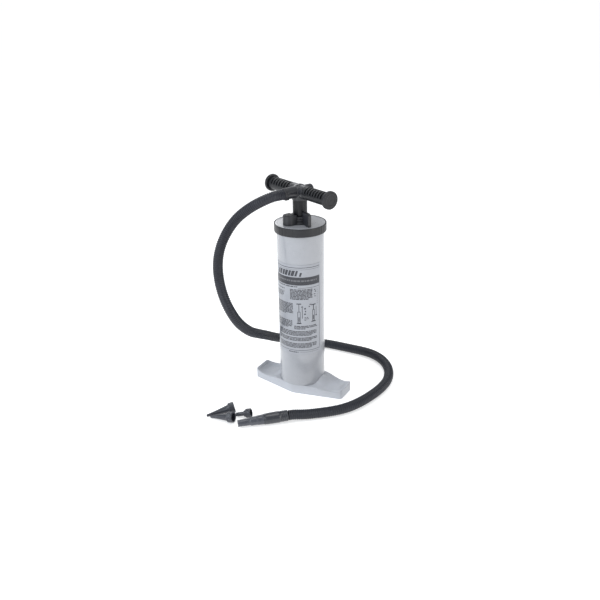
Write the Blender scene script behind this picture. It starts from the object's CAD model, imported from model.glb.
"""Looks for a double-action hand pump: fine meshes, procedural materials, camera, light and floor.

The barrel stands upright on a two-winged foot, the T handle is on top, and a ribbed hose runs
from the handle round the back to its free end on the floor, with three loose nozzles beside it.
Shapes are in millimetres: origin on the floor under the barrel, +Z up, front towards -Y, right
towards +X, the foot's wings along X. Materials, lights and camera are in metres.
"""

import math

import bmesh
import bpy
import numpy as np
from mathutils import Matrix, Vector


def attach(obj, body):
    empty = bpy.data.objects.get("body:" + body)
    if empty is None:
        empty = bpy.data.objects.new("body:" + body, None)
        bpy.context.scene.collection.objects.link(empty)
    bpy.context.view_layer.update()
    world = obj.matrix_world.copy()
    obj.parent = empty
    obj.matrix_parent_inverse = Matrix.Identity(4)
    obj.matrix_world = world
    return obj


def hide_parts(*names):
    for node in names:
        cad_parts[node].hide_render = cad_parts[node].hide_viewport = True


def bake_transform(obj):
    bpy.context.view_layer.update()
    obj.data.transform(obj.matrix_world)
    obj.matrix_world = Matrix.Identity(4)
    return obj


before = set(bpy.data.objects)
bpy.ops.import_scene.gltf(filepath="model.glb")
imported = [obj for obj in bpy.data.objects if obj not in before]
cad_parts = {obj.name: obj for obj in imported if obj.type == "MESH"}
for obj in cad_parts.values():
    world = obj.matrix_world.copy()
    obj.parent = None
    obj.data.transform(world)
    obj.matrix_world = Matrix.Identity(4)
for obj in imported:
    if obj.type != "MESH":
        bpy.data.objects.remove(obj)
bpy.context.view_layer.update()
scene = bpy.context.scene
MM = 0.001
UP = Vector((0, 0, 1))
ORIGIN = Vector((0, 0, 0))
UPRIGHT = Matrix.Identity(3)

# ================================================================ shared dimensions
BARREL_R = 47.5
HANDLE_Z = 427.5                # height of the handle's axis
HANDLE_TURN = -22.6             # degrees from +X to the right grip


def heading(degrees):
    """Basis with local Z level along a compass direction and local Y up."""
    turn = math.radians(degrees)
    along = Vector((math.cos(turn), math.sin(turn), 0))
    return Matrix((UP.cross(along), UP, along)).transposed()


def sloping(direction, fall):
    """Basis with local Z along a level direction, tipped down by an angle in radians."""
    axis = (direction * math.cos(fall) - UP * math.sin(fall)).normalized()
    side = UP.cross(axis).normalized()
    return Matrix((side, axis.cross(side), axis)).transposed()


TOP = Vector((0, 0, HANDLE_Z))
FRONT_TURN, BACK_TURN = HANDLE_TURN - 90, HANDLE_TURN + 90
FRONT = heading(FRONT_TURN)


# ================================================================ mesh helpers
def make(name, verts, faces, angle=35.0, fix_normals=True):
    mesh = bpy.data.meshes.new(name)
    mesh.from_pydata([tuple(float(c) * MM for c in v) for v in verts], [], faces)
    mesh.validate()
    if fix_normals:
        bm = bmesh.new()
        bm.from_mesh(mesh)
        bmesh.ops.recalc_face_normals(bm, faces=bm.faces)
        bm.to_mesh(mesh)
        bm.free()
    obj = bpy.data.objects.new(name, mesh)
    scene.collection.objects.link(obj)
    shade(obj, angle)
    return obj


def shade(obj, angle):
    """Smooth shading, sharp at edges steeper than an angle in degrees."""
    obj.data.shade_smooth()
    obj.data.set_sharp_from_angle(angle=math.radians(angle))


def place(points, at, basis):
    return [basis @ Vector(p) + at for p in points]


def bridge(faces, ring_a, ring_b, count, flip=False):
    """Quads between two rings, given by the index of their first vertex."""
    for k in range(count):
        n = (k + 1) % count
        if flip:
            faces.append((ring_a + n, ring_a + k, ring_b + k, ring_b + n))
        else:
            faces.append((ring_a + k, ring_a + n, ring_b + n, ring_b + k))


def lathe(name, profile, segs, at=ORIGIN, basis=UPRIGHT, angle=35.0, radius_at=None):
    """Turned solid. profile: (radius, z) round a closed section, or from pole to pole.
    radius_at(radius, z, turn) may vary the radius round the axis."""
    verts, rings = [], []
    for radius, z in profile:
        start = len(verts)
        if radius <= 1e-6:
            verts.append((0, 0, z))
        else:
            for k in range(segs):
                turn = 2 * math.pi * k / segs
                r = radius_at(radius, z, turn) if radius_at else radius
                verts.append((r * math.cos(turn), r * math.sin(turn), z))
        rings.append(range(start, len(verts)))
    faces = []
    for a, b in zip(rings, rings[1:] + rings[:1]):
        if len(a) == 1 and len(b) == 1:
            continue
        for k in range(segs):
            n = (k + 1) % segs
            if len(a) == 1:
                faces.append((a[0], b[k], b[n]))
            elif len(b) == 1:
                faces.append((a[k], b[0], a[n]))
            else:
                faces.append((a[k], b[k], b[n], a[n]))
    return make(name, place(verts, at, basis), faces, angle)


def arc(centre_r, centre_z, radius, start, stop, steps):
    """Points of a profile arc, angles in degrees."""
    turns = [math.radians(start + (stop - start) * k / steps) for k in range(steps + 1)]
    return [(centre_r + radius * math.cos(t), centre_z + radius * math.sin(t)) for t in turns]


def drum(radius, low, high, segs, at=ORIGIN, basis=UPRIGHT):
    """Plain cylinder, used as a cutting tool."""
    profile = [(0, high), (radius, high), (radius, low), (0, low)]
    return lathe("drum_tool", profile, segs, at, basis)


def block(low, high, bevel=0.0, at=ORIGIN, basis=UPRIGHT):
    """Box between two corners, used as a tool."""
    bm = bmesh.new()
    bmesh.ops.create_cube(bm, size=1.0)
    bmesh.ops.scale(bm, vec=[b - a for a, b in zip(low, high)], verts=bm.verts)
    bmesh.ops.translate(bm, vec=[(a + b) / 2 for a, b in zip(low, high)], verts=bm.verts)
    if bevel:
        bmesh.ops.bevel(bm, geom=bm.edges[:], offset=bevel, segments=3, profile=0.5,
                        affect="EDGES")
    verts = place([v.co.copy() for v in bm.verts], at, basis)
    faces = [[v.index for v in f.verts] for f in bm.faces]
    bm.free()
    return make("block_tool", verts, faces)


def apply_modifiers(obj):
    bpy.context.view_layer.update()
    graph = bpy.context.evaluated_depsgraph_get()
    mesh = bpy.data.meshes.new_from_object(obj.evaluated_get(graph))
    obj.modifiers.clear()
    old = obj.data
    obj.data = mesh
    bpy.data.meshes.remove(old)


def combine(obj, tool, operation="UNION"):
    """Boolean with a tool, which is used up."""
    modifier = obj.modifiers.new("cut", "BOOLEAN")
    modifier.operation = operation
    modifier.object = tool
    modifier.solver = "MANIFOLD"
    apply_modifiers(obj)
    old = tool.data
    bpy.data.objects.remove(tool, do_unlink=True)
    bpy.data.meshes.remove(old)


def cut(obj, tool):
    combine(obj, tool, "DIFFERENCE")


def step(t):
    """Smooth step from 0 to 1."""
    t = min(max(t, 0.0), 1.0)
    return t * t * (3 - 2 * t)


def dress(obj, material):
    obj.data.materials.clear()
    obj.data.materials.append(material)


def piece(obj, body, material, node):
    """Finish a mesh that moves with a body and stands in for a CAD node."""
    dress(obj, material)
    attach(obj, body)
    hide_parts(node)


# ================================================================ material helpers
class Graph:
    """Node tree of a material with a Principled shader, textured in object coordinates."""

    def __init__(self, name):
        self.mat = bpy.data.materials.new(name)
        self.mat.use_nodes = True
        self.tree = self.mat.node_tree
        self.tree.nodes.clear()
        out = self.node("ShaderNodeOutputMaterial")
        self.bsdf = self.node("ShaderNodeBsdfPrincipled")
        self.tree.links.new(self.bsdf.outputs[0], out.inputs[0])
        self.coords = self.node("ShaderNodeTexCoord").outputs["Object"]

    def node(self, kind, **settings):
        node = self.tree.nodes.new(kind)
        for key, value in settings.items():
            setattr(node, key, value)
        return node

    def put(self, socket, value):
        if isinstance(value, bpy.types.NodeSocket):
            self.tree.links.new(value, socket)
        else:
            socket.default_value = value

    def math(self, operation, a, b):
        node = self.node("ShaderNodeMath", operation=operation)
        for socket, value in zip(node.inputs, (a, b, 0.0)):
            self.put(socket, value)
        return node.outputs[0]

    def remap(self, value, source, target):
        """Map the range source = (low, high) to the range target."""
        node = self.node("ShaderNodeMapRange")
        for socket, v in zip(node.inputs, (value, *source, *target)):
            self.put(socket, v)
        return node.outputs[0]

    def scaled(self, scale):
        node = self.node("ShaderNodeMapping")
        self.put(node.inputs["Vector"], self.coords)
        node.inputs["Scale"].default_value = scale
        return node.outputs[0]

    def noise(self, scale, detail, rough, seed, vector=None):
        node = self.node("ShaderNodeTexNoise", noise_dimensions="4D")
        self.put(node.inputs["Vector"], vector or self.coords)
        node.inputs["W"].default_value = seed
        node.inputs["Scale"].default_value = scale
        node.inputs["Detail"].default_value = detail
        node.inputs["Roughness"].default_value = rough
        return node.outputs[0]

    def mix(self, factor, a, b):
        node = self.node("ShaderNodeMix", data_type="RGBA")
        self.put(node.inputs[0], factor)
        for socket, v in ((node.inputs[6], a), (node.inputs[7], b)):
            self.put(socket, v if isinstance(v, bpy.types.NodeSocket) else (*v, 1.0))
        return node.outputs[2]

    def bump(self, height, strength, distance, normal=None):
        node = self.node("ShaderNodeBump")
        node.inputs["Strength"].default_value = strength
        node.inputs["Distance"].default_value = distance
        self.put(node.inputs["Height"], height)
        if normal is not None:
            self.put(node.inputs["Normal"], normal)
        return node.outputs[0]


def toned(rgb, gain, lift=0.0):
    return tuple(min(1.0, c * gain + lift) for c in rgb)


def plastic(name, rgb, rough, seed, specular=0.5, mottle=0.05, tint=(1.0, 1.0, 1.0),
            grain=2600.0, grain_depth=4e-5, pits=0.0, streak=None, wear=0.12, dirt=0.25,
            coat=0.0, coat_rough=0.12, soft_edge=0.0, scuff=0.0, metal=0.0, peel=0.0,
            cavity=0.0, reach=0.004):
    """Moulded plastic, rubber or metal.

    mottle, tint: broad colour variation and the tint of its light side
    grain, grain_depth: scale and depth of the fine grain; peel: depth of broad waviness
    pits, wear, scuff, dirt: strength of light specks, light edges, rubbed marks, dark crevices
    streak: coordinate scale of the flow marks; soft_edge: radius of shaded edge rounding
    cavity: loss of specular in crevices; reach: how far crevices are felt
    """
    g = Graph(name)
    inputs = g.bsdf.inputs
    # colour
    light = tuple(min(1.0, c * (1 + mottle) * t) for c, t in zip(rgb, tint))
    broad = g.noise(38.0, detail=4.0, rough=0.55, seed=seed)
    colour = g.mix(g.remap(broad, (0.3, 0.7), (0.0, 1.0)), toned(rgb, 1 - mottle), light)
    if streak:
        lines = g.noise(900.0, detail=2.0, rough=0.5, seed=seed + 3, vector=g.scaled(streak))
        factor = g.remap(lines, (0.35, 0.65), (0.0, 0.5 * mottle + 0.05))
        colour = g.mix(factor, colour, toned(rgb, 0.8))
    fine = g.noise(grain, detail=2.0, rough=0.6, seed=seed + 5)
    if pits:
        specks = g.noise(1500.0, detail=3.0, rough=0.7, seed=seed + 7)
        colour = g.mix(g.remap(specks, (0.62, 0.72), (0.0, pits)), colour, toned(rgb, 1.5, 0.01))
    if wear:
        point = g.node("ShaderNodeNewGeometry").outputs["Pointiness"]
        rub = g.noise(260.0, detail=4.0, rough=0.65, seed=seed + 9)
        edge = g.math("MULTIPLY", g.remap(point, (0.52, 0.60), (0.0, 1.0)),
                      g.remap(rub, (0.35, 0.65), (0.3, 1.0)))
        colour = g.mix(g.math("MULTIPLY", edge, wear), colour, toned(rgb, 1.6, 0.03))
    if scuff:
        marks = g.noise(70.0, detail=6.0, rough=0.75, seed=seed + 13,
                        vector=g.scaled((3.0, 0.7, 1.6)))
        worn = g.remap(marks, (0.60, 0.66), (0.0, scuff))
        colour = g.mix(worn, colour, toned(rgb, 1.35, 0.02))
    occlusion = g.node("ShaderNodeAmbientOcclusion", samples=6)
    occlusion.inputs["Distance"].default_value = reach
    openness = occlusion.outputs["AO"]
    colour = g.mix(g.remap(openness, (0.35, 0.85), (dirt, 0.0)), colour, toned(rgb, 0.45))
    g.put(inputs["Base Color"], colour)
    # gloss
    gloss = g.remap(fine, (0.3, 0.7), (rough - 0.05, rough + 0.05))
    gloss = g.math("ADD", gloss, g.remap(broad, (0.3, 0.7), (-0.04, 0.04)))
    if scuff:
        gloss = g.math("ADD", gloss, g.math("MULTIPLY", worn, 0.25))
    g.put(inputs["Roughness"], gloss)
    inputs["Metallic"].default_value = metal
    level = specular
    if cavity:                       # little light leaves a deep groove
        low = g.remap(openness, (0.45, 0.90), (cavity, 0.0))
        level = g.math("MULTIPLY", specular, g.math("SUBTRACT", 1.0, low))
    g.put(inputs["Specular IOR Level"], level)
    if coat:
        inputs["Coat Weight"].default_value = coat
        inputs["Coat Roughness"].default_value = coat_rough
    # relief
    normal = None
    if soft_edge:
        bevel = g.node("ShaderNodeBevel", samples=4)
        bevel.inputs["Radius"].default_value = soft_edge
        normal = bevel.outputs[0]
    normal = g.bump(fine, strength=0.5, distance=grain_depth, normal=normal)
    if peel:
        waves = g.noise(180.0, detail=2.0, rough=0.4, seed=seed + 15)
        normal = g.bump(waves, strength=0.5, distance=peel, normal=normal)
    if streak:
        normal = g.bump(lines, strength=0.4, distance=3e-5, normal=normal)
    g.put(inputs["Normal"], normal)
    g.mat.diffuse_color = (*rgb, 1.0)
    return g.mat


# ================================================================ materials
INK = (0.017, 0.018, 0.023)
SATIN = dict(mottle=0.18, grain=2300.0, grain_depth=6e-5, pits=0.15)

MAT_FOOT = plastic(
    "foot_moulding", (0.515, 0.532, 0.570), rough=0.38, seed=1.0, mottle=0.03,
    tint=(0.99, 1.0, 1.02), grain=2200.0, grain_depth=5e-5, wear=0.25, dirt=0.30, scuff=0.10,
    soft_edge=5e-4, peel=6e-5)
MAT_BARREL = plastic(
    "barrel_tube_grey", (0.392, 0.404, 0.436), rough=0.30, seed=2.0, mottle=0.02, grain=1800.0,
    grain_depth=2e-5, streak=(1.0, 1.0, 0.015), wear=0.0, dirt=0.35, scuff=0.05, coat=0.9,
    coat_rough=0.10)
MAT_CAP = plastic(
    "end_cap_grey", (0.405, 0.416, 0.446), rough=0.22, seed=3.0, mottle=0.02, grain=1400.0,
    grain_depth=2e-5, wear=0.1, dirt=0.35, coat=0.9, coat_rough=0.20, soft_edge=4e-4)
MAT_COLLAR = plastic(
    "collar_charcoal", (0.010, 0.0105, 0.0135), rough=0.40, seed=4.0, specular=0.42,
    mottle=0.18, grain=2400.0, grain_depth=7e-5, pits=0.15, wear=0.5, dirt=0.3, scuff=0.10,
    soft_edge=5e-4, coat=0.15, coat_rough=0.2)
MAT_GLAND = plastic(
    "gland_charcoal", INK, rough=0.42, seed=5.0, mottle=0.2, grain=2000.0, grain_depth=8e-5,
    pits=0.18, wear=0.5, dirt=0.4, scuff=0.10, soft_edge=6e-4)
MAT_HUB = plastic(
    "hub_charcoal", INK, rough=0.34, seed=6.0, wear=0.4, dirt=0.3, scuff=0.12, peel=5e-5,
    coat=0.3, coat_rough=0.2, **SATIN)
MAT_GRIP = plastic(
    "grip_charcoal", (0.012, 0.013, 0.016), rough=0.42, seed=7.0, specular=0.32, mottle=0.2,
    grain_depth=9e-5, pits=0.2, wear=0.6, dirt=0.95, scuff=0.12, soft_edge=3e-4, cavity=0.95,
    reach=0.0035)
MAT_GRIP_CAP = plastic(
    "grip_cap_charcoal", (0.012, 0.0125, 0.016), rough=0.42, seed=8.0, specular=0.45,
    mottle=0.2, grain=2400.0, grain_depth=7e-5, pits=0.15, wear=0.5, dirt=0.35, scuff=0.12,
    soft_edge=5e-4)
MAT_ROD = plastic(
    "rod_gloss_charcoal", (0.007, 0.0075, 0.010), rough=0.38, seed=9.0, specular=0.32,
    mottle=0.15, grain=1600.0, grain_depth=3e-5, streak=(1.0, 1.0, 0.02), wear=0.2, scuff=0.06)
MAT_HOSE = plastic(
    "hose_vinyl", (0.014, 0.016, 0.024), rough=0.38, seed=10.0, specular=0.42, mottle=0.15,
    grain=1900.0, grain_depth=6e-5, pits=0.1, wear=0.3, dirt=0.9, scuff=0.08, cavity=0.85,
    reach=0.0022)
MAT_SLEEVE = plastic(
    "sleeve_rubber", (0.027, 0.030, 0.039), rough=0.28, seed=11.0, mottle=0.16, grain=2100.0,
    grain_depth=6e-5, pits=0.12, wear=0.4, dirt=0.6, scuff=0.10, coat=0.4, coat_rough=0.15,
    cavity=0.6, reach=0.002)
MAT_TIP = plastic(
    "tip_charcoal", (0.060, 0.065, 0.082), rough=0.30, seed=12.0, wear=0.5, dirt=0.3,
    scuff=0.10, soft_edge=3e-4, coat=0.3, coat_rough=0.15, **SATIN)
MAT_NOZZLE = plastic(
    "nozzle_charcoal", (0.031, 0.034, 0.046), rough=0.32, seed=13.0, wear=0.5, dirt=0.35,
    scuff=0.10, soft_edge=3e-4, coat=0.3, coat_rough=0.15, **SATIN)
MAT_CUFF = plastic(
    "cuff_charcoal", (0.016, 0.017, 0.021), rough=0.40, seed=14.0, wear=0.5, dirt=0.35,
    soft_edge=4e-4, **SATIN)
MAT_SEAL = plastic(
    "nitrile", (0.012, 0.012, 0.012), rough=0.62, seed=15.0, mottle=0.15, grain=1700.0,
    pits=0.05, wear=0.2, dirt=0.2)
MAT_FLAP = plastic(
    "flap_elastomer", (0.200, 0.070, 0.040), rough=0.6, seed=16.0, mottle=0.08, grain=1500.0,
    wear=0.2, dirt=0.2)
MAT_PISTON = plastic(
    "piston_moulding", (0.100, 0.100, 0.108), rough=0.48, seed=17.0, mottle=0.1, grain=2200.0,
    grain_depth=6e-5, pits=0.1, wear=0.4, dirt=0.3, soft_edge=3e-4)
MAT_BUSH = plastic(
    "bush_acetal", (0.560, 0.540, 0.460), rough=0.38, seed=18.0, mottle=0.04, grain=1800.0,
    grain_depth=3e-5, wear=0.1, dirt=0.3)
MAT_DUCT = plastic(
    "duct_tube", (0.480, 0.480, 0.480), rough=0.36, seed=19.0, mottle=0.04, grain=1800.0,
    grain_depth=3e-5, streak=(1.0, 1.0, 0.02), wear=0.0, dirt=0.3)
MAT_STEEL = plastic(
    "screw_zinc", (0.560, 0.560, 0.545), rough=0.30, seed=20.0, mottle=0.08, grain_depth=3e-5,
    wear=0.3, dirt=0.3, metal=1.0)

# ================================================================ foot
# The plan is a long hexagon: half length, half width at the ends and at the middle.
FOOT_HALF, FOOT_END_HALF, FOOT_MID_HALF = 105.0, 23.5, 46.5
FOOT_CORNER_R, FOOT_MID_R = 7.0, 22.0
FOOT_TOP_Z = 20.0
DIP_FROM, DIP_TO, DIP = 40.0, 78.0, 5.0      # the wing sinks between these x, then rises again
END_RISE = 6.5
FOOT_SKIN = 4.4                              # thickness of the top over the hollow
FOOT_LIP = 0.6                               # height of the bottom edge's chamfer
PANEL_FROM_X, PANEL_EDGE, PANEL_DEPTH = 46.0, 5.6, 1.15
RIDGE_INSETS, RIDGE_HALF, RIDGE_HEIGHT = (9.6, 12.6, 15.6), 0.85, 0.55
SIDE_STEPS, END_STEPS, CORNER_STEPS = 56, 22, 7  # per half side, per end, per half corner
FAR_INSIDE = 99.0                            # stands for "well away from the edge"
# Insets of the loops across the top, close together at the panel's edge and ridges.
TOP_INSETS = (2.4, 3.4, 4.4, 5.2, 5.6, 6.0, 6.4, 6.8, 7.4, 8.2, 8.8, 9.2, 9.6, 10.0, 10.4, 11.0,
              11.8, 12.2, 12.6, 13.0, 13.4, 14.0, 14.8, 15.2, 15.6, 16.0, 16.4)
# Plug inside the barrel's lower end, with a seal groove. (radius, z)
PLUG_PROFILE = [(0, 27.0), (43.5, 27.0), (44.5, 26.0), (44.5, 25.2), (41.6, 25.2),
                (41.6, 21.8), (44.5, 21.8), (44.5, 17.0), (0, 17.0)]
RIB_HALF, RIB_LOW = 1.1, 0.05
LONG_RIB_HALF, LONG_RIB_TOP, CROSS_RIB_TOP = 103.2, 12.9, 11.8


def wing_top(x):
    """Height of the wing's top along its length."""
    x = abs(x)
    if x <= DIP_TO:
        return FOOT_TOP_Z - DIP * step((x - DIP_FROM) / (DIP_TO - DIP_FROM))
    return FOOT_TOP_Z - DIP + END_RISE * ((x - DIP_TO) / (FOOT_HALF - DIP_TO)) ** 2.2


def outline(inset):
    """Loop of the plan, counter-clockwise from the right end's middle, same count always."""
    end_x = FOOT_HALF - inset
    end_y = FOOT_END_HALF - inset * 0.90
    mid_y = FOOT_MID_HALF - inset * 1.02
    radius = max(FOOT_CORNER_R - inset, 2.0)
    slope = math.atan2(mid_y - end_y, end_x)
    centre = Vector((end_x - radius, end_y - radius / math.tan((math.pi / 2 + slope) / 2)))
    quarter = []                             # end's middle to side's middle
    for k in range(END_STEPS // 2):
        quarter.append(Vector((end_x, centre.y * k / (END_STEPS // 2))))
    for k in range(CORNER_STEPS * 2 + 1):
        turn = (math.pi / 2 - slope) * k / (CORNER_STEPS * 2)
        quarter.append(centre + Vector((math.cos(turn), math.sin(turn))) * radius)
    side_x = quarter[-1].x
    half_apex = (math.pi - 2 * slope) / 2
    apex = mid_y - (FOOT_MID_R / math.sin(half_apex) - FOOT_MID_R)
    round_x = FOOT_MID_R / math.tan(half_apex) * math.cos(slope)
    steps = SIDE_STEPS - CORNER_STEPS
    for k in range(1, steps + 1):
        x = side_x * (1 - k / steps)
        y = mid_y - (mid_y - end_y) * x / end_x
        if x < round_x:
            y = (apex - FOOT_MID_R) + math.sqrt(FOOT_MID_R ** 2 - x * x)
        quarter.append(Vector((x, y)))
    loop = [v.copy() for v in quarter]
    loop += [Vector((-v.x, v.y)) for v in quarter[-2::-1]]
    loop += [Vector((-v.x, -v.y)) for v in quarter[1:]]
    loop += [Vector((v.x, -v.y)) for v in quarter[-2:0:-1]]
    return loop


def junction(bearing):
    """Height at which the foot meets the barrel, by degrees from the wing's axis."""
    bearing = abs((bearing + 90.0) % 180.0 - 90.0)
    return 20.2 + 12.0 * math.cos(math.radians(min(bearing * 2.45, 90.0))) ** 2


def foot_height(x, y, edge):
    """Height of the top; edge is the distance in from the outline."""
    height = wing_top(x)
    # raised border, then a shallow panel with fine ridges that follow the plan
    if abs(x) > PANEL_FROM_X:
        panel = step((edge - PANEL_EDGE) / 1.2) * step((abs(x) - PANEL_FROM_X) / 8.0)
        ridge = max(0.0, *(1.0 - abs(edge - at) / RIDGE_HALF for at in RIDGE_INSETS))
        height -= (PANEL_DEPTH * panel
                   - RIDGE_HEIGHT * step(ridge) * panel * step((abs(x) - 56.0) / 4.0))
    # swept up to the barrel
    radius = math.hypot(x, y)
    if radius < 78.0:
        meet = junction(math.degrees(math.atan2(y, x)))
        t = min(max((radius - 47.8) / 21.0, 0.0), 1.0)
        height += (meet - min(height, meet)) * (1 - t) ** 2.4
    return height


def rim_radius(x):
    return 0.5 + 1.2 * step((abs(x) - 30.0) / 14.0)


def under_top(x, y):
    return wing_top(x) - FOOT_SKIN


def loop_row(inset, height):
    return [(p.x, p.y, height(p.x, p.y)) for p in outline(inset)]


def rim_rows():
    """Quarter-round rim between the wall and the top."""
    rows = []
    outer, inner = outline(0.0), outline(1.0)
    for k in range(5):
        turn = math.pi / 2 * k / 4
        row = []
        for p, q in zip(outer, inner):
            radius = rim_radius(p.x)
            inset = radius * (1 - math.cos(turn))
            at = p.lerp(q, inset)
            z = foot_height(at.x, at.y, inset) - radius * (1 - math.sin(turn))
            row.append((at.x, at.y, z))
        rows.append(row)
    return rows


def fill_loop(verts, faces, start, count, height, flip=False):
    """Grid inside a loop: opposite points of the loop are joined by rows."""
    corner = END_STEPS // 2 + CORNER_STEPS       # upper right corner's middle
    far_top, far_bottom, first = count // 2 - corner, count // 2 + corner, count - corner
    right = [start + (first + k) % count for k in range(2 * corner + 1)]
    top = [start + k for k in range(corner, far_top + 1)]
    left = [start + k for k in range(far_bottom, far_top - 1, -1)]
    bottom = [start + k for k in range(first, far_bottom - 1, -1)]
    nx, ny = len(top), len(right)
    grid = [[None] * ny for _ in range(nx)]
    for i in range(nx):
        grid[i][ny - 1] = top[i]
        grid[i][0] = bottom[i]
    for j in range(ny):
        grid[0][j] = right[j]
        grid[nx - 1][j] = left[j]

    def plan(index):
        return Vector(verts[index][:2])

    for i in range(1, nx - 1):
        u = i / (nx - 1)
        for j in range(1, ny - 1):
            v = j / (ny - 1)
            p = (plan(right[j]) * (1 - u) + plan(left[j]) * u
                 + plan(bottom[i]) * (1 - v) + plan(top[i]) * v
                 - (plan(right[0]) * (1 - u) * (1 - v) + plan(right[-1]) * (1 - u) * v
                    + plan(left[0]) * u * (1 - v) + plan(left[-1]) * u * v))
            grid[i][j] = len(verts)
            verts.append((p.x, p.y, height(p.x, p.y)))
    for i in range(nx - 1):
        for j in range(ny - 1):
            face = (grid[i][j], grid[i][j + 1], grid[i + 1][j + 1], grid[i + 1][j])
            faces.append(face[::-1] if flip else face)


def foot_shell():
    """Outer wall from the floor up, rim, top, then the hollow underside."""
    rows = [loop_row(0.5, lambda x, y: 0.0), loop_row(0.0, lambda x, y: FOOT_LIP)]
    for part in (0.3, 0.6, 0.85):
        rows.append(loop_row(0.0, lambda x, y: FOOT_LIP + part * (
            foot_height(x, y, 0.0) - rim_radius(x) - FOOT_LIP)))
    rows += rim_rows()
    for inset in TOP_INSETS:
        rows.append(loop_row(inset, lambda x, y: foot_height(x, y, inset)))
    count = len(rows[0])
    verts = [point for row in rows for point in row]
    faces = []
    for i in range(len(rows) - 1):
        bridge(faces, i * count, (i + 1) * count, count)
    fill_loop(verts, faces, (len(rows) - 1) * count, count,
              lambda x, y: foot_height(x, y, FAR_INSIDE))
    last = 0
    for inset, height in ((2.6, lambda x, y: 0.0), (3.0, lambda x, y: FOOT_LIP),
                          (3.2, under_top)):
        start = len(verts)
        verts += loop_row(inset, height)
        bridge(faces, last, start, count, flip=True)
        last = start
    fill_loop(verts, faces, last, count, under_top, flip=True)
    return make("foot_shell", verts, faces, 40)


def tidy(obj, least=8):
    """Drop the zero-area scraps a boolean can leave along an edge."""
    bm = bmesh.new()
    bm.from_mesh(obj.data)
    bmesh.ops.remove_doubles(bm, verts=bm.verts, dist=2e-7)
    seen, scraps = set(), []
    for start in bm.faces:
        if start in seen:
            continue
        seen.add(start)
        island, waiting = [], [start]
        while waiting:
            face = waiting.pop()
            island.append(face)
            for edge in face.edges:
                if len(edge.link_faces) == 2:
                    for near in edge.link_faces:
                        if near not in seen:
                            seen.add(near)
                            waiting.append(near)
        if len(island) < least:
            scraps += island
    bmesh.ops.delete(bm, geom=scraps, context="FACES")
    bmesh.ops.delete(bm, geom=[e for e in bm.edges if not e.link_faces], context="EDGES")
    bmesh.ops.delete(bm, geom=[v for v in bm.verts if not v.link_edges], context="VERTS")
    bm.to_mesh(obj.data)
    bm.free()
    obj.data.update()


def build_foot():
    foot = foot_shell()
    cut(foot, drum(BARREL_R + 0.25, 20.05, 80, 128))         # seat for the barrel
    combine(foot, lathe("plug_tool", PLUG_PROFILE, 96))
    for y in (-13.0, 13.0):
        combine(foot, block((-LONG_RIB_HALF, y - RIB_HALF, RIB_LOW),
                            (LONG_RIB_HALF, y + RIB_HALF, LONG_RIB_TOP)))
    for x in (-88.0, -64.0, -32.0, 0.0, 32.0, 64.0, 88.0):
        half = FOOT_MID_HALF - (FOOT_MID_HALF - FOOT_END_HALF) * abs(x) / FOOT_HALF - 1.6
        combine(foot, block((x - RIB_HALF, -half, RIB_LOW), (x + RIB_HALF, half, CROSS_RIB_TOP)))
    tidy(foot)
    shade(foot, 32)
    piece(foot, "barrel", MAT_FOOT, "foot")


build_foot()

# ================================================================ barrel, end cap, collar
# Profiles are (radius, z).
BARREL_PROFILE = (
    [(BARREL_R, z) for z in (357.4, 340.0, 200.0, 60.0, 20.9)]
    + arc(BARREL_R - 0.5, 20.8, 0.5, 0, -90, 3)
    + [(45.4, 20.3), (45.0, 20.7), (45.0, 200.0), (45.0, 357.6), (45.4, 358.0),
       (BARREL_R - 0.6, 358.0)]
    + arc(BARREL_R - 0.5, 357.5, 0.5, 90, 0, 3)[:-1])
CAP_PROFILE = (
    [(19.0, 364.9), (19.3, 365.2), (28.6, 365.2), (28.9, 364.85), (29.5, 364.85),
     (29.8, 365.2), (45.6, 365.2), (45.9, 364.8), (46.7, 364.8), (47.0, 365.2)]
    + arc(49.2, 364.4, 0.8, 90, 0, 4)
    + [(50.0, 362.4), (51.0, 362.4), (51.0, 359.6), (44.5, 359.6), (44.5, 351.5),
       (41.5, 351.5), (41.5, 360.6), (23.5, 360.6), (23.5, 352.0), (19.0, 352.0)])
COLLAR_PROFILE = (
    arc(51.3, 364.6, 0.9, 90, 0, 4) + [(52.2, 361.5), (52.2, 357.0), (52.2, 352.8)]
    + arc(51.3, 349.8, 0.9, 0, -90, 4)
    + [(48.4, 348.9), (47.95, 349.3), (47.95, 358.6), (51.35, 358.6), (51.35, 362.75),
       (50.4, 362.75), (50.4, 365.1), (50.7, 365.5)])
# Collar flutes: depth in mm; half width and shift of the groups in degrees.
FLUTE_DEPTH, FLUTE_HALF, FLUTE_SHIFT = 0.55, 1.6, 2.0


def fluted(radius, z, turn):
    """Four groups of five shallow flutes round the collar."""
    if radius < 51.9:
        return radius
    bearing = math.degrees(turn)
    depth = 0.0
    for centre in (0.0, 90.0, 180.0, 270.0):
        for offset in (-16.0, -8.0, 0.0, 8.0, 16.0):
            away = abs((bearing - centre + FLUTE_SHIFT - offset + 180.0) % 360.0 - 180.0)
            depth = max(depth, 1.0 - away / FLUTE_HALF)
    return radius - FLUTE_DEPTH * step(depth)


piece(lathe("barrel_shell", BARREL_PROFILE, 160),
      "barrel", MAT_BARREL, "barrel_tube")
piece(lathe("end_cap_moulding", CAP_PROFILE, 128, angle=30),
      "barrel", MAT_CAP, "end_cap")
piece(lathe("cap_collar_moulding", COLLAR_PROFILE, 360, angle=30, radius_at=fluted),
      "barrel", MAT_COLLAR, "cap_collar")

# ================================================================ gland with two lugs
GLAND_BASE_Z = 365.5
LUG_ROOT_R, LUG_ROLL = 17.35, 1.3            # inner end of the lugs, radius of their top edge
# turn in degrees, reach from the axis, half width, corner radius, top z
LUGS = ((-34.5, 42.3, 3.5, 1.0, 390.2), (-112.6, 39.4, 11.8, 11.4, 384.9))


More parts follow.
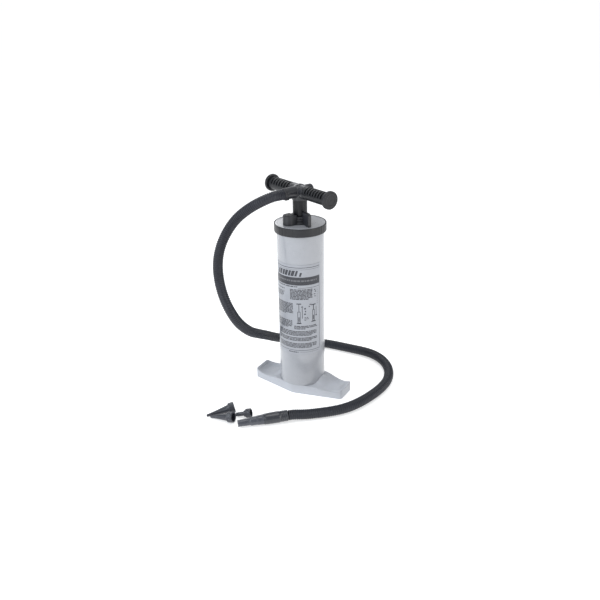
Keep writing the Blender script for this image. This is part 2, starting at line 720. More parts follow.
def gland_profile():
    points = [(15.4, 380.0), (15.8, 380.4), (19.0, 380.4)] + arc(19.2, 379.6, 0.8, 90, 0, 4)
    for z in (377.6, 372.7):                 # two grooves round the neck
        points += [(20.0, z), (19.7, z - 0.25), (18.9, z - 0.45), (18.9, z - 1.75),
                   (19.7, z - 1.95), (20.0, z - 2.2)]
    return points + [(20.0, 369.2), (20.3, 368.7), (21.3, 368.5), (21.8, 368.0),
                     (21.8, GLAND_BASE_Z), (18.6, GLAND_BASE_Z), (18.6, 352.5),
                     (16.9, 352.5), (16.9, 377.9), (15.4, 378.5)]


def lug_block(turn, reach, half, corner, top):
    """Upright block, outer corners rounded in plan, upper edges rolled over."""
    plan = [(LUG_ROOT_R, -half)]
    for side in (-1, 1):
        for k in range(11):
            a = math.pi / 2 * (k / 10 - (1 if side < 0 else 0))
            plan.append((reach - corner + corner * math.cos(a),
                         side * (half - corner) + corner * math.sin(a)))
    plan.append((LUG_ROOT_R, half))
    mid_x = reach / 2 + 8.0                  # the top draws in towards this point
    cos, sin = math.cos(math.radians(turn)), math.sin(math.radians(turn))
    roll_z = top - LUG_ROLL
    levels = [(GLAND_BASE_Z, 0.0), (roll_z, 0.0)]
    levels += [(roll_z + LUG_ROLL * math.sin(a), LUG_ROLL * (1 - math.cos(a)))
               for a in (0.4, 0.8, 1.2, math.pi / 2)]
    verts, faces = [], []
    for z, inset in levels:
        scale_x = 1 - inset / max(1.0, (reach - LUG_ROOT_R) / 2)
        scale_y = 1 - inset / half
        for x, y in plan:
            px, py = mid_x + (x - mid_x) * scale_x, y * scale_y
            verts.append((px * cos - py * sin, px * sin + py * cos, z))
    count = len(plan)
    for i in range(len(levels) - 1):
        bridge(faces, i * count, (i + 1) * count, count)
    faces.append(tuple(range(count))[::-1])
    faces.append(tuple(range(len(verts) - count, len(verts))))
    return make("lug_tool", verts, faces)


gland = lathe("gland", gland_profile(), 120)
for lug in LUGS:
    combine(gland, lug_block(*lug))
shade(gland, 28)
piece(gland, "barrel", MAT_GLAND, "rod_guide")

# ================================================================ rod
ROD_R, ROD_BORE_R, ROD_TOP, ROD_LOW = 14.4, 12.9, 415.0, 55.6
ROD_PROFILE = [(ROD_R, ROD_TOP), (ROD_R, 300.0), (ROD_R, 180.0), (ROD_R, 55.9),
               (14.1, ROD_LOW), (ROD_BORE_R, ROD_LOW), (ROD_BORE_R, ROD_TOP)]
piece(lathe("rod_tube_smooth", ROD_PROFILE, 96), "rod", MAT_ROD, "rod_tube")

# ================================================================ handle hub
HUB_R, HUB_LOW = 15.9, 411.0
DOME_Z, DOME_RISE = 428.5, 13.4
STUB_ROOT = 3.0
# Stubs out of the hub: turn, radius, end, chamfer.
STUBS = ((HANDLE_TURN, 13.2, 21.2, 0.4), (HANDLE_TURN + 180, 13.2, 21.2, 0.4),
         (FRONT_TURN, 11.3, 36.0, 0.6), (BACK_TURN, 10.2, 28.0, 0.6))
SOCKET_R = 8.9
SOCKETS = ((FRONT_TURN, 20.0), (BACK_TURN, 13.2))      # turn, inner end


def build_hub():
    dome = [(0, DOME_Z + DOME_RISE)]
    for k in range(1, 13):
        a = math.pi / 2 * (1 - k / 12)
        dome.append((HUB_R * math.cos(a), DOME_Z + DOME_RISE * math.sin(a)))
    skirt = [(HUB_R, 416.5), (15.75, 413.0), (15.7, HUB_LOW), (0, HUB_LOW)]
    hub = lathe("handle_hub_body", dome + skirt, 72)
    for turn, r, end, chamfer in STUBS:
        profile = [(0, end), (r - chamfer, end), (r, end - chamfer), (r, STUB_ROOT),
                   (0, STUB_ROOT)]
        combine(hub, lathe("stub_tool", profile, 64, TOP, heading(turn)))
    # small key under the front stub
    combine(hub, block((-2.6, -13.0, 27.5), (2.6, -8.0, 36.0), 0.5, TOP, FRONT))
    for turn, start in SOCKETS:
        cut(hub, drum(SOCKET_R, start, 60.0, 48, TOP, heading(turn)))
    cut(hub, drum(14.75, 400.0, 415.3, 64))            # seat for the rod
    cut(hub, drum(12.6, 414.0, 418.6, 64))             # step inside it
    cut(hub, drum(6.4, -4.0, 24.0, 32, TOP, FRONT))    # bore from the front socket
    cut(hub, drum(8.4, 410.0, 424.0, 32))              # bore up from the rod
    # slot inside the back stub
    cut(hub, block((-4.0, -12.5, 10.3), (4.0, 2.0, 14.6), 0.0, TOP, heading(BACK_TURN)))
    # remeshed and smoothed, to round the joints between the parts
    remesh = hub.modifiers.new("even", "REMESH")
    remesh.mode = "VOXEL"
    remesh.voxel_size = 0.00055
    remesh.use_smooth_shade = True
    apply_modifiers(hub)
    smooth = hub.modifiers.new("soften", "SMOOTH")
    smooth.factor = 0.5
    smooth.iterations = 7
    apply_modifiers(hub)
    hub.data.shade_smooth()
    piece(hub, "rod", MAT_HUB, "handle_hub")


build_hub()

# ================================================================ arms, grips, grip caps
# Profiles are (radius, distance from the hub's axis).
ARM_PROFILE = [(9.4, 86.4), (9.4, 60.0), (9.4, 19.0), (6.3, 19.0), (6.3, 86.8), (9.0, 86.8)]
GRIP_R, GRIP_BORE_R, GRIP_ROUND = 13.0, 9.8, 0.9
GRIP_START, GRIP_END = 21.5, 86.8
SLOT_COUNT, SLOT_HALF, SLOT_DEPTH = 7, 3.9 / 2, 2.9
SLOT_EDGE = (-0.45, -0.1, 0.15, 0.5)         # stations across a slot's edge
GRIP_CAP_PROFILE = (
    [(0, 92.5), (1.6, 92.5), (2.0, 92.8), (8.6, 92.8), (9.5, 92.9), (10.2, 93.55),
     (10.8, 93.6), (13.4, 93.6), (13.7, 93.3), (14.2, 93.3), (14.5, 93.6)]
    + arc(16.0, 92.3, 1.3, 90, 0, 5) + arc(16.1, 88.3, 1.2, 0, -90, 5)
    + [(13.6, 87.1), (5.8, 87.1), (5.8, 70.0), (0, 70.0)])


def build_grip(side, basis, first, pitch):
    """Smooth sleeve with seven broad cross slots over its upper half."""
    stations = [21.5, 21.7, 22.1, 22.9]
    for k in range(SLOT_COUNT):
        centre = first + pitch * k
        stations += [centre - SLOT_HALF + e for e in SLOT_EDGE] + [centre]
        stations += [centre + SLOT_HALF - e for e in reversed(SLOT_EDGE)]
    stations += [83.6, 85.0, 85.8, 86.3, 86.6, 86.8]
    profile = []
    for z in stations:
        end = min(z - GRIP_START, GRIP_END - z)
        part = 1 - min(end / GRIP_ROUND, 1.0)
        drop = GRIP_ROUND * (1 - math.sqrt(max(0.0, 1 - part ** 2)))
        profile.append((GRIP_R - drop, z))
    profile += [(GRIP_BORE_R, GRIP_END), (GRIP_BORE_R, GRIP_START)]

    def slotted(radius, z, turn):
        if radius < 11.5:
            return radius
        k = round((z - first) / pitch)
        if not 0 <= k < SLOT_COUNT:
            return radius
        across = step((SLOT_HALF + 0.25 - abs(z - first - pitch * k)) / 0.5)
        from_top = abs(((math.degrees(turn) - 90.0 + 180.0) % 360.0) - 180.0)
        return radius - SLOT_DEPTH * across * step((83.0 - from_top) / 8.0)

    grip = lathe("grip_" + side + "_ribbed", profile, 112, TOP, basis, 30, slotted)
    piece(grip, "rod", MAT_GRIP, "grip_" + side)


# side, turn, distance of the first slot, slot pitch
for side, turn, first, pitch in (("right", HANDLE_TURN, 31.2, 7.85),
                                 ("left", HANDLE_TURN + 180, 26.3, 8.3)):
    basis = heading(turn)
    piece(lathe("handle_arm_" + side, ARM_PROFILE, 48, TOP, basis),
          "rod", MAT_HUB, "handle_hub")
    build_grip(side, basis, first, pitch)
    piece(lathe("grip_cap_" + side + "_disc", GRIP_CAP_PROFILE, 80, TOP, basis, 30),
          "rod", MAT_GRIP_CAP, "grip_cap_" + side)

# ================================================================ hose connector
# (radius, distance from the hub's axis)
CUFF_PROFILE = [
    (6.6, 51.0), (7.0, 49.8), (6.8, 48.5), (6.8, 41.0), (10.5, 41.0), (10.8, 40.8),
    (11.0, 40.3), (11.1, 38.0), (11.0, 36.8), (10.7, 36.4), (10.3, 36.3), (8.4, 36.3),
    (8.4, 28.6), (7.0, 28.6), (7.0, 26.4), (8.4, 26.4), (8.4, 22.9), (8.0, 22.5),
    (5.4, 22.5), (5.4, 51.0)]
piece(lathe("hose_connector", CUFF_PROFILE, 96, TOP, FRONT, 30),
      "cuff", MAT_CUFF, "hose_cuff")

# ================================================================ hose
HOSE_LIE = 10.6                              # height of the axis where the hose lies flat
HOSE_R, HOSE_GROOVE, HOSE_BORE_R = 10.3, 0.95, 8.5
HOSE_PITCH, HOSE_STEPS = 4.2, 6              # ridge pitch, rings per ridge
HOSE_SEGS = 28
INNER_STRIDE = 12                            # rings between rings of the bore
JOIN_RUN = 300.0                             # the two hose parts meet about here
TIP_HEAD = Vector((-0.747, -0.665, 0)).normalized()
SLEEVE_AT = Vector((47.0, -144.3, 13.0))
OUT_OF_HUB = (41.8, 50.0, 60.5)              # distances straight out of the handle
# down from the handle and round the left side to the floor at the back: x, y, z
HOSE_DOWN = [
    (-35, -66, 423), (-50, -70, 415), (-74, -72, 400), (-101, -76, 377), (-119, -84, 350),
    (-127, -97, 322), (-123, -114, 296), (-110, -131, 270), (-95, -142, 244),
    (-81, -143, 216), (-73, -128, 184), (-74, -87, 146), (-84, -39, 117), (-97, 12, 88),
    (-104, 55, 63), (-104, 92, 43), (-96, 120, 29), (-83, 142, 20), (-66, 158, 14),
    (-46, 168, HOSE_LIE + 0.6)]
# along the floor, back, right, front: x, y
HOSE_FLOOR = [
    (-22, 173), (14, 175), (54, 177), (80, 176), (103, 168), (124, 154), (142, 134),
    (156, 109), (165, 78), (166, 46), (161, 10), (151, -28), (137, -60), (118, -84),
    (94, -106), (70, -125)]


def spline_point(p0, p1, p2, p3, t):
    """Centripetal Catmull-Rom point between p1 and p2."""
    points = (p0, p1, p2, p3)
    knots = [0.0]
    for a, b in zip(points, points[1:]):
        knots.append(knots[-1] + (b - a).length ** 0.5)
    at = knots[1] + (knots[2] - knots[1]) * t

    def between(a, b, i, j):
        span = knots[j] - knots[i]
        return a * ((knots[j] - at) / span) + b * ((at - knots[i]) / span)

    a1, a2, a3 = (between(points[i], points[i + 1], i, i + 1) for i in range(3))
    return between(between(a1, a2, 0, 2), between(a2, a3, 1, 3), 1, 2)


def through(points, per_span):
    """Curve through the points, as a dense list of points."""
    ends = [points[0] * 2 - points[1]] + points + [points[-1] * 2 - points[-2]]
    curve = []
    for i in range(1, len(ends) - 2):
        for k in range(per_span):
            curve.append(spline_point(*ends[i - 1:i + 3], k / per_span))
    curve.append(points[-1])
    return curve


def even(line, spacing):
    """Points at an even spacing along a line, and their distance along it."""
    points = np.array([tuple(p) for p in line])
    lengths = np.linalg.norm(np.diff(points, axis=0), axis=1)
    along = np.concatenate([[0], np.cumsum(lengths)])
    count = max(2, int(round(along[-1] / spacing)))
    stops = np.linspace(0, along[-1], count + 1)
    columns = [np.interp(stops, along, points[:, axis]) for axis in range(3)]
    return [Vector(p) for p in zip(*columns)], stops


def hose_line():
    """Centre line of the hose, smoothed except at its ends."""
    way = [FRONT.col[2] * s + TOP for s in OUT_OF_HUB]
    way += [Vector(p) for p in HOSE_DOWN]
    way += [Vector((x, y, HOSE_LIE)) for x, y in HOSE_FLOOR]
    way += [SLEEVE_AT - TIP_HEAD * 14 - Vector((0, 0, 0.4)), SLEEVE_AT - TIP_HEAD * 1]
    line, _ = even(through(way, 12), 4.0)
    for _ in range(14):
        smoothed = list(line)
        for i in range(6, len(line) - 5):
            smoothed[i] = line[i] * 0.5 + (line[i - 1] + line[i + 1]) * 0.25
        line = smoothed
    return even(through(line, 8), HOSE_PITCH / HOSE_STEPS)


points, run = hose_line()
path = np.array([tuple(p) for p in points])
tangent = np.gradient(path, axis=0)
tangent /= np.linalg.norm(tangent, axis=1)[:, None]
section_x = np.zeros_like(path)
section_x[0] = np.cross(tangent[0], (0, 0, 1.0))
section_x[0] /= np.linalg.norm(section_x[0])
for i in range(1, len(path)):                # carry the section along without twist
    v = section_x[i - 1] - tangent[i] * np.dot(section_x[i - 1], tangent[i])
    section_x[i] = v / np.linalg.norm(v)
section_y = np.cross(tangent, section_x)


def hose_part(name, first, last):
    """Ribbed tube between two stations; also gives each vertex's distance along the hose."""
    turns = np.arange(HOSE_SEGS) * 2 * math.pi / HOSE_SEGS
    cos, sin = np.cos(turns)[:, None], np.sin(turns)[:, None]
    verts, distances, faces = [], [], []

    def ring(i, radius):
        start = len(verts)
        offsets = section_x[i][None, :] * cos + section_y[i][None, :] * sin
        verts.extend((path[i] + radius * offsets).tolist())
        distances.extend([run[i]] * HOSE_SEGS)
        return start

    outer = []
    for i in range(first, last + 1):         # rounded ridges with narrow grooves
        phase = (i % HOSE_STEPS) / HOSE_STEPS
        ridge = 0.5 + 0.5 * math.cos(2 * math.pi * phase)
        outer.append(ring(i, HOSE_R - HOSE_GROOVE * (1 - ridge) ** 1.6))
    inner = [ring(i, HOSE_BORE_R) for i in [*range(first, last, INNER_STRIDE), last]]
    for a, b in zip(outer, outer[1:]):
        bridge(faces, a, b, HOSE_SEGS)
    for a, b in zip(inner, inner[1:]):
        bridge(faces, a, b, HOSE_SEGS, flip=True)
    bridge(faces, outer[0], inner[0], HOSE_SEGS, flip=True)
    bridge(faces, outer[-1], inner[-1], HOSE_SEGS)
    return make(name, verts, faces, 50, fix_normals=False), np.array(distances)


def weigh(obj):
    """Bend between two bodies by length along the hose instead of by distance in space."""
    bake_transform(obj)


join = int(round(JOIN_RUN / HOSE_PITCH)) * HOSE_STEPS
upper, upper_distances = hose_part("hose_upper", 0, join)
lower, lower_distances = hose_part("hose_lower", join, len(path) - 1)
dress(upper, MAT_HOSE)
dress(lower, MAT_HOSE)
weigh(upper)
weigh(lower)
for part in (upper, lower):
    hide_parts("hose")

# ================================================================ free end of the hose
FREE_END = sloping(TIP_HEAD, math.radians(2.3))
# Profiles are (radius, distance from the sleeve's start).
SLEEVE_RIBS, RIB_START, RIB_PITCH = 4, 15.4, 4.0
SLEEVE_RIB = [(10.55, 0.0), (10.6, 0.5), (11.25, 0.9), (11.45, 1.4), (11.45, 2.2),
              (11.25, 2.7), (10.6, 3.1)]     # second column: distance back from the rib's start
SLEEVE_PROFILE = (
    [(8.6, 48.0), (10.0, 48.0), (10.4, 47.8), (10.7, 47.3), (11.1, 40.0), (11.4, 28.0),
     (11.55, 18.6), (11.4, 17.2), (10.9, 16.2)]
    + [(r, RIB_START - RIB_PITCH * k - d) for k in range(SLEEVE_RIBS) for r, d in SLEEVE_RIB]
    + [(10.5, 0.3), (7.2, 0.3), (7.2, 20.0), (8.6, 20.0)])
TIP_PROFILE = [
    (5.0, 99.6), (5.3, 100.0), (6.4, 100.0), (6.7, 99.6), (6.75, 97.6), (6.45, 97.2),
    (6.45, 96.4), (6.8, 96.0), (7.1, 86.0), (7.4, 76.0), (7.9, 75.2), (8.4, 74.6),
    (8.55, 73.8), (8.8, 66.0), (8.95, 61.8), (9.25, 61.2), (9.4, 60.4), (9.65, 55.0),
    (9.9, 50.0), (10.2, 49.4), (10.25, 48.8), (10.1, 48.4), (8.2, 48.4), (8.2, 22.0),
    (6.4, 22.0), (6.4, 70.0), (5.0, 90.0)]
piece(lathe("hose_sleeve_ribbed", SLEEVE_PROFILE, 72, SLEEVE_AT, FREE_END, 40),
      "barrel", MAT_SLEEVE, "hose_sleeve")
piece(lathe("hose_tip_stepped", TIP_PROFILE, 72, SLEEVE_AT, FREE_END, 35),
      "barrel", MAT_TIP, "hose_tip")

# ================================================================ loose nozzles
# Stepped nozzle: (radius, distance from the base).
VALVE_PROFILE = [
    (2.6, 31.7), (2.9, 32.0), (3.5, 32.0), (3.8, 31.6), (4.0, 28.0), (4.4, 27.6), (4.4, 26.6),
    (4.1, 26.2), (4.2, 24.0), (4.3, 15.3), (4.8, 14.9), (6.2, 14.7), (6.6, 14.3), (6.8, 12.6),
    (7.0, 11.3), (7.4, 10.9), (8.6, 10.7), (9.0, 10.3), (9.2, 9.6), (9.2, 8.4), (9.19, 5.0),
    (9.2, 2.0), (9.2, 0.9), (8.9, 0.3), (8.4, 0.0), (7.2, 0.0), (6.9, 0.3), (6.9, 9.0),
    (2.6, 13.0)]


def lying(node, suffix, profile, base_xy, tip_xy, base_r, rim, tip_r, length, grooves, zone):
    """Nozzle on its side, resting on its rim and tip, grooved round the base within a zone."""
    direction = Vector((tip_xy[0] - base_xy[0], tip_xy[1] - base_xy[1], 0)).normalized()
    fall = math.atan2(base_r - tip_r, length - rim)
    at = Vector((*base_xy, base_r * math.cos(fall) + rim * math.sin(fall) + 0.3))

    def grooved(radius, z, turn):
        if zone[0] < z < zone[1] and radius > base_r - 0.2:
            phase = (turn * grooves / (2 * math.pi)) % 1.0
            return radius - 0.45 * step((0.25 - abs(phase - 0.5)) / 0.14)
        return radius

    nozzle = lathe(node + suffix, profile, 144, at, sloping(direction, fall), 32, grooved)
    piece(nozzle, node + "_body", MAT_NOZZLE, node)


def cone_profile(length, base_r, tip_r, bore):
    neck_r = base_r * 0.72
    points = [(bore, length - 0.3), (bore + 0.3, length), (tip_r - 0.4, length),
              (tip_r, length - 0.5)]
    for k in range(1, 13):
        t = k / 12
        points.append((tip_r + (neck_r - tip_r) * (t ** 1.35), length * (1 - t) + 14.0 * t))
    return points + [
        (base_r * 0.76, 13.2), (base_r * 0.8, 12.3), (base_r - 0.9, 11.7), (base_r - 0.3, 11.3),
        (base_r, 10.7), (base_r, 9.6), (base_r - 0.01, 5.0), (base_r, 2.2), (base_r, 1.0),
        (base_r - 0.3, 0.3), (base_r - 0.8, 0.0), (base_r - 2.3, 0.0), (base_r - 2.6, 0.4),
        (base_r - 2.6, 10.0), (neck_r - 1.8, 15.0), (bore, length - 8.0)]


# node, base x y, tip x y, length, base radius, tip radius, bore radius
for node, base_xy, tip_xy, length, base_r, tip_r, bore in (
        ("nozzle_long", (-64, -169), (-105, -210), 58.0, 11.2, 2.6, 1.4),
        ("nozzle_short", (-44, -201), (-93, -208), 52.0, 10.8, 3.2, 2.0)):
    lying(node, "_cone", cone_profile(length, base_r, tip_r, bore), base_xy, tip_xy,
          base_r, rim=10.8, tip_r=tip_r, length=length, grooves=16, zone=(1.5, 10.2))
lying("nozzle_valve", "_stepped", VALVE_PROFILE, (-23.5, -169.0), (-53.5, -179.5),
      base_r=9.2, rim=9.6, tip_r=3.8, length=32.0, grooves=14, zone=(1.2, 9.2))

# ================================================================ label
# u is the distance along the film from the barrel's front line (-Y), growing towards +X.
LABEL_MID, LABEL_HALF = 17.4, 65.0           # degrees from the front line, half the wrap
LABEL_LOW, LABEL_HIGH = 95.0, 291.0
LABEL_R, LABEL_THICK = BARREL_R + 0.55, 0.25
LABEL_COLUMNS = 180
MM_PER_DEGREE = LABEL_R * math.pi / 180.0
DARK, MID, LIGHT = 1, 2, 3                   # material slots of the inks
rects = []                                   # (u0, u1, z0, z1, ink), later ones lie on top

# u0, u1 of the leaning stripes in the heading
STRIPES = ((-31.5, -27.0), (-25.5, -19.5), (-18.0, -12.5), (-11.0, -5.0), (-3.5, 1.5),
           (3.0, 9.5), (11.0, 15.5))
# small marks: u, z, width, height
MARKS = ((51.5, 236.0, 3.6, 2.0), (53.5, 231.5, 2.6, 2.6), (51.0, 226.5, 4.4, 1.6),
         (53.0, 221.5, 2.4, 2.4), (30.5, 196.5, 3.0, 3.4), (31.5, 190.5, 2.6, 2.8),
         (30.0, 184.5, 3.4, 3.0), (41.0, 205.5, 3.6, 2.0), (39.5, 201.0, 2.4, 2.6))
# rows of dashes for small print: u0, u1, top z, bottom z, pitch, height, seed, ink,
# part of the width filled, shortest and longest dash, gap
PRINT_ROWS = (
    (-33.0, 60.0, 259.6, 254.6, 5.0, 3.2, 11, LIGHT, 0.99, 2.2, 6.5, 1.6),
    (-32.0, 17.0, 246.8, 243.0, 3.8, 2.1, 12, DARK, 1.0, 3.0, 7.0, 1.0),
    (-40.0, -10.0, 239.6, 236.4, 3.2, 2.0, 20, DARK, 0.97, 2.2, 6.0, 1.1),
    (-40.0, -12.0, 232.5, 222.0, 2.9, 1.9, 21, DARK, 0.97, 2.2, 6.0, 1.1),
    (-39.0, 8.0, 209.5, 183.5, 2.9, 2.0, 22, DARK, 0.99, 2.6, 7.0, 0.8),
    (-38.0, 6.0, 171.0, 154.0, 2.9, 2.0, 23, DARK, 0.98, 2.6, 7.0, 0.8),
    (1.0, 49.0, 240.0, 218.0, 2.9, 2.05, 24, DARK, 0.98, 3.0, 8.0, 0.8),
    (30.5, 40.0, 179.0, 169.5, 2.8, 1.7, 25, MID, 0.95, 2.0, 4.0, 0.9),
    (9.0, 59.0, 160.0, 151.0, 2.9, 1.9, 31, DARK, 0.98, 3.0, 8.0, 0.8),
    (-32.0, 59.0, 148.0, 137.0, 2.9, 1.9, 32, DARK, 0.98, 3.0, 8.0, 0.8),
    (-31.0, 60.0, 133.5, 124.5, 2.9, 1.9, 33, DARK, 0.98, 3.0, 8.0, 0.8),
    (-30.0, 59.0, 120.5, 108.5, 2.9, 1.9, 34, DARK, 0.98, 3.0, 8.0, 0.8),
    (-4.0, 17.0, 100.8, 98.0, 2.8, 2.0, 35, DARK, 1.0, 3.0, 6.0, 0.8))


def bar(u0, u1, z0, z1, ink=DARK):
    rects.append((u0, u1, z0, z1, ink))


def dashes(u0, u1, z_top, z_bottom, pitch, height, seed, ink, fill, shortest, longest, gap):
    rng = np.random.RandomState(seed)
    count = int(round((z_top - z_bottom) / pitch))
    for k in range(count):
        z = z_top - pitch * k
        u = u0
        # the last row of several is shorter
        part = fill if k < count - 1 or count == 1 else 0.45 + 0.4 * rng.rand()
        stop = u0 + (u1 - u0) * part
        while u < stop - 1.5:
            width = min(shortest + (longest - shortest) * rng.rand(), stop - u)
            bar(u, u + width, z - height, z, ink)
            u += width + gap


def slanted(u0, u1, z0, z1, lean):
    """A leaning bar, built from six short level strips."""
    for k in range(6):
        shift = lean * (k + 0.5) / 6
        bar(u0 + shift, u1 + shift, z0 + (z1 - z0) * k / 6, z0 + (z1 - z0) * (k + 1) / 6)


def figure(u, z, raised):
    """Plain outline of a pump: foot, barrel, rod, handle, and a short arrow."""
    line = 1.1
    left, right, low, high = u - 2.8, u + 2.8, z + 2.0, z + 27.0
    bar(u - 5.0, u + 5.0, z, low)
    bar(left, right, high - line, high)
    bar(left, right, low, low + line)
    bar(left, left + line, low, high)
    bar(right - line, right, low, high)
    bar(u - 1.2, u + 1.2, z + 5.0, z + 15.0, MID)
    top = high + (16.0 if raised else 10.0)
    bar(u - 0.8, u + 0.8, high, top)
    bar(u - 5.0, u + 5.0, top, top + 2.2)
    bar(u + 6.0, u + 6.0 + line, z + 12.0, top - 4.0)
    for k in range(3):
        back = k * 0.9
        tip = top - 4.0 - back if raised else z + 12.0 + back
        bar(u + 6.0 - back, u + 6.0 + line + back, tip - 0.45, tip + 0.45)


def draw_label():
    # heading: two lines, leaning stripes, broad dark band
    bar(-38.0, 66.0, 285.0, 286.2)
    bar(-38.0, 66.0, 281.6, 282.2, MID)
    for u0, u1 in STRIPES:
        slanted(u0, u1, 268.0, 279.6, lean=3.6)
    slanted(20.5, 24.5, 267.4, 275.5, lean=2.4)
    bar(-38.5, 66.0, 248.6, 265.6)
    # frame and edge ticks of the right part
    bar(18.5, 66.0, 242.4, 243.4, MID)
    bar(64.6, 66.0, 106.0, 249.0, MID)
    for k in range(9):
        bar(58.6, 60.2, 206.0 + 3.9 * k, 208.2 + 3.9 * k, MID)
    for u, z, width, height in MARKS:
        bar(u, u + width, z, z + height)
    figure(19.5, 164.5, raised=True)
    figure(50.0, 167.0, raised=False)
    # line and ticks at the bottom
    bar(-34.0, 66.0, 103.4, 104.5, MID)
    for k in range(30):
        bar(21.0 + 1.4 * k, 21.8 + 1.4 * k, 99.4, 100.4, MID)
    for row in PRINT_ROWS:
        dashes(*row)


def build_label():
    """Curved film, its outer face cut into cells; gives the mesh and the slot of each face."""
    us = np.linspace((LABEL_MID - LABEL_HALF) * MM_PER_DEGREE,
                     (LABEL_MID + LABEL_HALF) * MM_PER_DEGREE, LABEL_COLUMNS + 1).round(3)
    cuts = {LABEL_LOW, LABEL_HIGH}
    for rect in rects:
        cuts.update((round(rect[2], 2), round(rect[3], 2)))
    zs = []
    for z in sorted(cuts):
        if not zs or z - zs[-1] > 0.12:
            zs.append(z)
    zs[-1] = LABEL_HIGH
    zs = np.array(zs)
    nu, nz = len(us), len(zs)
    ink = np.zeros((nu - 1, nz - 1), int)
    u_mid, z_mid = (us[:-1] + us[1:]) / 2, (zs[:-1] + zs[1:]) / 2
    for u0, u1, z0, z1, colour in rects:
        columns = (u_mid >= u0) & (u_mid <= u1)
        if not columns.any():
            columns[np.argmin(abs(u_mid - (u0 + u1) / 2))] = True
        ink[np.ix_(columns, (z_mid > z0) & (z_mid < z1))] = colour
    verts = []

    def point(u, z, radius):
        turn = math.radians(u / MM_PER_DEGREE - 90.0)
        verts.append((radius * math.cos(turn), radius * math.sin(turn), z))
        return len(verts) - 1

    outer = []
    for i in range(nu):
        drop = 0.12 if i in (0, nu - 1) else 0.0     # upright edges lie closer
        outer.append([point(us[i], z, LABEL_R - drop) for z in zs])
    inner = [[point(u, z, LABEL_R - LABEL_THICK) for z in (zs[0], zs[-1])] for u in us]
    faces, slots = [], []
    for i in range(nu - 1):
        a, b, c, d = outer[i], outer[i + 1], inner[i], inner[i + 1]
        for j in range(nz - 1):
            faces.append((a[j], b[j], b[j + 1], a[j + 1]))
            slots.append(int(ink[i, j]))
        faces += [(c[0], c[1], d[1], d[0]), (a[0], c[0], d[0], b[0]), (a[-1], b[-1], d[1], c[1])]
        slots += [0, 0, 0]
    faces.append(tuple([inner[0][1], inner[0][0]] + outer[0]))
    faces.append(tuple([inner[-1][0], inner[-1][1]] + outer[-1][::-1]))
    slots += [0, 0]
    return make("label_print", verts, faces, 30, fix_normals=False), slots


draw_label()
label, label_slots = build_label()
label.data.materials.clear()
# name, colour, mottle, seed
for name, rgb, mottle, seed in (
        ("label_ground", (0.395, 0.410, 0.448), 0.015, 30.0),
        ("label_ink_dark", (0.040, 0.042, 0.052), 0.08, 31.0),
        ("label_ink_mid", (0.105, 0.108, 0.122), 0.05, 32.0),
        ("label_ink_light", (0.150, 0.154, 0.168), 0.03, 33.0)):
    label.data.materials.append(plastic(
        name, rgb, rough=0.30, seed=seed, mottle=mottle, grain=1500.0, grain_depth=1e-5,
        wear=0.0, dirt=0.12, scuff=0.04))
label.data.polygons.foreach_set("material_index", label_slots)
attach(label, "barrel")
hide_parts("barrel_label")

# ================================================================ CAD nodes that stay
for material, names in (
        (MAT_SEAL, "base_seal cap_gasket rod_seal piston_ring cuff_seal"),
        (MAT_BUSH, "rod_bush"),
        (MAT_GLAND, "seal_retainer"),
        (MAT_PISTON, "piston_upper piston_lower valve_box"),
        (MAT_STEEL, "piston_screw_1 piston_screw_2 piston_screw_3 piston_screw_4"),
        (MAT_FLAP, "intake_flap_upper intake_flap_lower exhaust_flap_upper exhaust_flap_lower"),
        (MAT_DUCT, "inner_tube")):
    for name in names.split():
        dress(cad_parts[name], material)

# ================================================================ camera
CAM_TURN, CAM_TILT = math.radians(29.944), math.radians(23.523)  # to the right, upwards
CAM_ROLL = math.radians(-1.0077)
CAM_DISTANCE, CAM_AIM_Z, CAM_SHIFT = 1.4551, 0.1968, 0.0031
LENS = 42.1644                               # on a 36 mm sensor

right = Vector((math.cos(CAM_TURN), math.sin(CAM_TURN), 0))
back = Vector((math.sin(CAM_TURN) * math.cos(CAM_TILT),
               -math.cos(CAM_TURN) * math.cos(CAM_TILT), math.sin(CAM_TILT)))
up = back.cross(right)
cam_x = right * math.cos(CAM_ROLL) + up * math.sin(CAM_ROLL)
cam_y = up * math.cos(CAM_ROLL) - right * math.sin(CAM_ROLL)
eye = Vector((0, 0, CAM_AIM_Z)) - right * CAM_SHIFT + back * CAM_DISTANCE
cam_data = bpy.data.cameras.new("camera")
cam_data.sensor_width = 36.0
cam_data.lens = LENS
cam_data.clip_start, cam_data.clip_end = 0.05, 400.0
cam = bpy.data.objects.new("camera", cam_data)
scene.collection.objects.link(cam)
cam.matrix_world = Matrix([(*row, 1) for row in (cam_x, cam_y, back, eye)]).transposed()
cam.matrix_world = Matrix(((cam_x.x, cam_y.x, back.x, eye.x), (cam_x.y, cam_y.y, back.y, eye.y),
                           (cam_x.z, cam_y.z, back.z, eye.z), (0, 0, 0, 1)))
scene.camera = cam


# ================================================================ world, floor
def camera_level(tree, socket, to_object, to_camera):
    """Drive a strength: one level for the camera, another for all other rays."""
    path_node = tree.nodes.new("ShaderNodeLightPath")
    level = tree.nodes.new("ShaderNodeMapRange")
    level.inputs["To Min"].default_value = to_object
    level.inputs["To Max"].default_value = to_camera
    tree.links.new(path_node.outputs["Is Camera Ray"], level.inputs["Value"])
    tree.links.new(level.outputs[0], socket)


world = bpy.data.worlds.new("studio")
scene.world = world
world.use_nodes = True
sky = world.node_tree.nodes["Background"]
sky.inputs[0].default_value = (0.955, 0.975, 1.0, 1.0)
camera_level(world.node_tree, sky.inputs[1], to_object=0.50, to_camera=1.12)

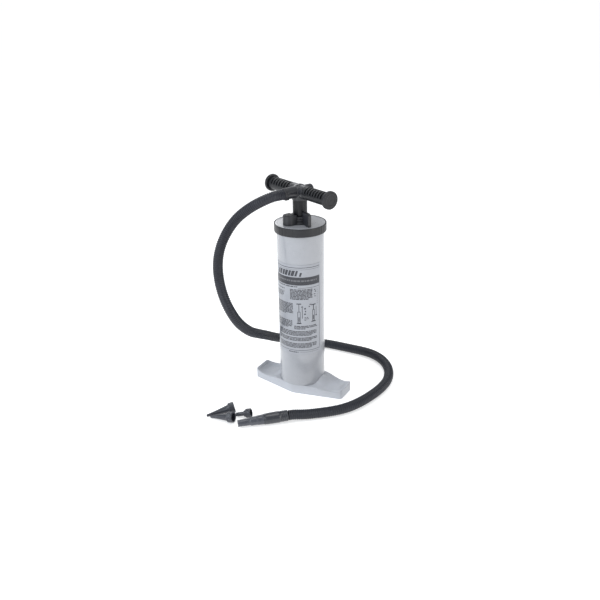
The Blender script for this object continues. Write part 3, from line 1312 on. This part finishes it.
FLOOR_HALF, FLOOR_Z = 150, -0.0008
floor_mat = bpy.data.materials.new("studio_floor")
floor_mat.use_nodes = True
inputs = floor_mat.node_tree.nodes["Principled BSDF"].inputs
inputs["Base Color"].default_value = (0.93, 0.93, 0.93, 1.0)
inputs["Roughness"].default_value = 0.9
inputs["Specular IOR Level"].default_value = 0.1
inputs["Emission Color"].default_value = (1.0, 1.0, 1.0, 1.0)
camera_level(floor_mat.node_tree, inputs["Emission Strength"], to_object=0.47, to_camera=0.56)
mesh = bpy.data.meshes.new("studio_floor")
mesh.from_pydata([(x * FLOOR_HALF, y * FLOOR_HALF, FLOOR_Z)
                  for x, y in ((-1, -1), (1, -1), (1, 1), (-1, 1))], [], [(0, 1, 2, 3)])
floor = bpy.data.objects.new("studio_floor", mesh)
scene.collection.objects.link(floor)
dress(floor, floor_mat)


# ================================================================ lights
def lamp(name, at, aim, size, radiance, colour=(1, 1, 1), diffuse=True):
    """Soft box: size (width, height) in metres, radiance of its face."""
    light = bpy.data.lights.new(name, "AREA")
    light.shape = "RECTANGLE"
    light.size, light.size_y = size
    light.energy = radiance * math.pi * size[0] * size[1]
    light.color = colour
    obj = bpy.data.objects.new(name, light)
    scene.collection.objects.link(obj)
    obj.location = at
    obj.rotation_euler = (Vector(aim) - Vector(at)).to_track_quat("-Z", "Y").to_euler()
    obj.visible_camera = False
    obj.visible_diffuse = diffuse


AIM = Vector((0, 0, 0.25))
away = Vector((-math.sin(CAM_TURN), math.cos(CAM_TURN), 0))      # from the camera, level


def around(near, rightward, height):
    """Place relative to the aim: towards the camera, to its right, up."""
    return AIM - away * near + right * rightward + Vector((0, 0, height))


lamp("key", around(0.9, -1.7, 0.9), AIM, size=(0.9, 1.3), radiance=4.8,
     colour=(0.88, 0.94, 1.0))
lamp("fill", around(1.3, 1.8, 0.7), AIM, size=(1.2, 1.2), radiance=1.9,
     colour=(1.0, 0.985, 0.96))
lamp("top", around(0.0, 0.0, 2.2), AIM, size=(1.6, 1.6), radiance=2.0)
# narrow strips that draw upright streaks on the glossy barrel
lamp("strip_left", around(1.6, -0.75, 0.35), AIM, size=(0.16, 1.8), radiance=5.0,
     colour=(0.95, 0.975, 1.0), diffuse=False)
lamp("strip_right", around(1.0, 1.35, 0.35), AIM, size=(0.14, 1.8), radiance=6.0,
     colour=(1.0, 0.98, 0.95), diffuse=False)
# reflecting board behind, left of the cap's mirrored sight line
cap_at = Vector((0, 0, 0.365))
sight = away * math.cos(CAM_TILT) + UP * math.sin(CAM_TILT)
board_at = cap_at + sight * 2.2 - right * 0.93 + Vector((0, 0, 0.10))
lamp("board", board_at, cap_at, size=(1.9, 0.9), radiance=2.0, colour=(0.97, 0.98, 1.0),
     diffuse=False)

scene.view_settings.view_transform = "Standard"
scene.view_settings.look = "None"
